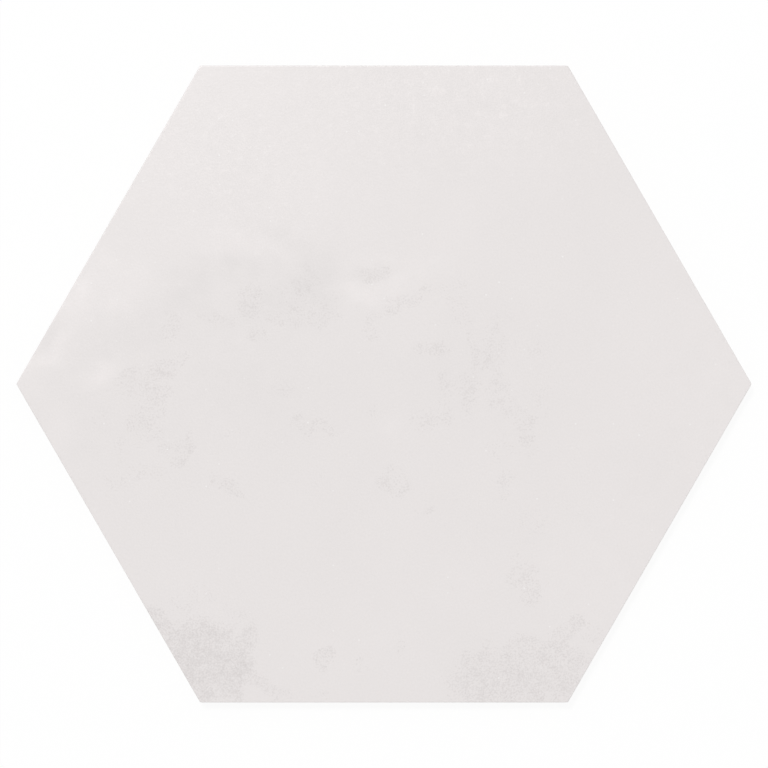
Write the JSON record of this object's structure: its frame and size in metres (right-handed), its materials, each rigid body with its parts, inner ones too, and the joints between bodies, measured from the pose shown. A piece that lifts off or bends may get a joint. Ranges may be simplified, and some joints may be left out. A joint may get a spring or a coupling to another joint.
{
  "type": "hexagon floor tile",
  "caption": "Flat regular hexagon floor tile with a plain satin glazed face, lightly mottled off-white, and a cellular keying relief on its back.",
  "frame": {"origin": "middle of the back, on the plane that the tile lies on", "axes": "+Z out of the glazed face, +X through a corner, +Y square to an edge"},
  "size_m": [0.2884, 0.25, 0.009],
  "materials": {
    "glazed_porcelain": "satin"
  },
  "bodies": {
    "root": {"hexagon_tile": "glazed_porcelain"}
  },
  "joints": []
}
